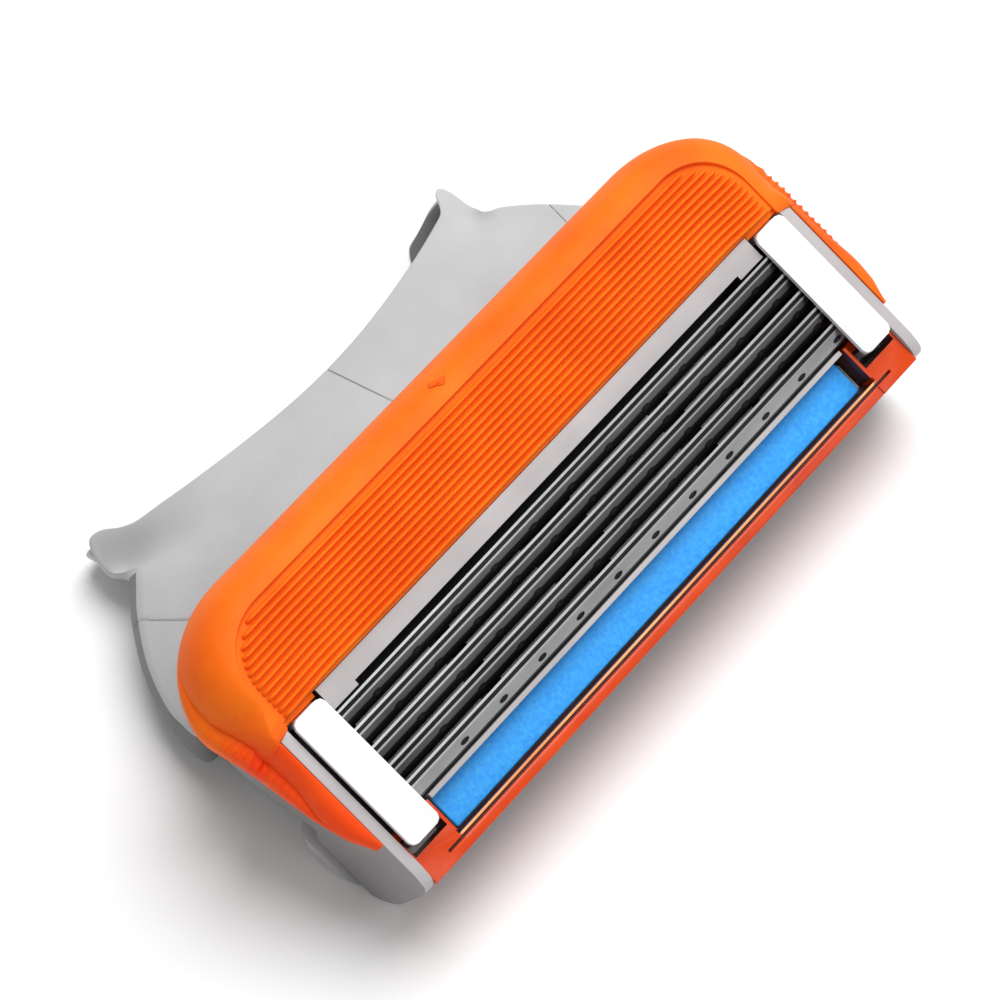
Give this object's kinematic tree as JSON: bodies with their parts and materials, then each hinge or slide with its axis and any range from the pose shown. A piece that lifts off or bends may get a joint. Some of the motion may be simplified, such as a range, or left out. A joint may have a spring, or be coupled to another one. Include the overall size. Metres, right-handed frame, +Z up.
{
  "type": "cartridge razor head",
  "caption": "Razor cartridge head with floating blades, a soft finned guard, a lubricating strip, metal end clips and a rear trimmer, hinged on a flared docking connector.",
  "frame": {"origin": "middle of the head's box, on the table it lies on", "axes": "+X along the blades, +Y to the guard and the connector's mouth, +Z up; the shaving face leans 31 degrees towards -Y"},
  "size_m": [0.0422, 0.0286, 0.0138],
  "materials": {
    "connector_grey": "fine satin grain",
    "housing_grey": "satin moulded",
    "guard_orange": "soft matte elastomer",
    "frame_orange": "glossy moulded",
    "strip_blue": "waxy matte",
    "clip_aluminium": "satin",
    "blade_steel": "ground, with a bright edge",
    "support_steel": "rolled strip"
  },
  "bodies": {
    "connector_body": {"connector": "connector_grey"},
    "blade_unit": {"housing": "housing_grey", "guard_elastomer": "guard_orange", "trimmer_frame": "frame_orange", "lubricating_strip": "strip_blue", "trimmer_blade": "blade_steel", "trimmer_support": "support_steel", "clip_left": "clip_aluminium", "clip_right": "clip_aluminium"},
    "blade_body_1": {"blade_1": "blade_steel", "blade_support_1": "support_steel"},
    "blade_body_2": {"blade_2": "blade_steel", "blade_support_2": "support_steel"},
    "blade_body_3": {"blade_3": "blade_steel", "blade_support_3": "support_steel"},
    "blade_body_4": {"blade_4": "blade_steel", "blade_support_4": "support_steel"},
    "blade_body_5": {"blade_5": "blade_steel", "blade_support_5": "support_steel"}
  },
  "joints": [
    {"name": "head_pivot", "type": "hinge", "parent": "connector_body", "child": "blade_unit", "pos_m": [0, -0.00495, 0.01055], "axis": [-1, 0, 0], "range_deg": [0, 41]},
    {"name": "blade_1_float", "type": "slide", "parent": "blade_unit", "child": "blade_body_1", "axis": [0, 0.515, -0.8572], "range_m": [0, 0.0003], "stiffness_N_per_m": 300, "springref_m": -0.0008},
    {"name": "blade_2_float", "type": "slide", "parent": "blade_unit", "child": "blade_body_2", "axis": [0, 0.515, -0.8572], "range_m": [0, 0.0003], "stiffness_N_per_m": 300, "springref_m": -0.0008},
    {"name": "blade_3_float", "type": "slide", "parent": "blade_unit", "child": "blade_body_3", "axis": [0, 0.515, -0.8572], "range_m": [0, 0.0003], "stiffness_N_per_m": 300, "springref_m": -0.0008},
    {"name": "blade_4_float", "type": "slide", "parent": "blade_unit", "child": "blade_body_4", "axis": [0, 0.515, -0.8572], "range_m": [0, 0.0003], "stiffness_N_per_m": 300, "springref_m": -0.0008},
    {"name": "blade_5_float", "type": "slide", "parent": "blade_unit", "child": "blade_body_5", "axis": [0, 0.515, -0.8572], "range_m": [0, 0.0003], "stiffness_N_per_m": 300, "springref_m": -0.0008}
  ]
}
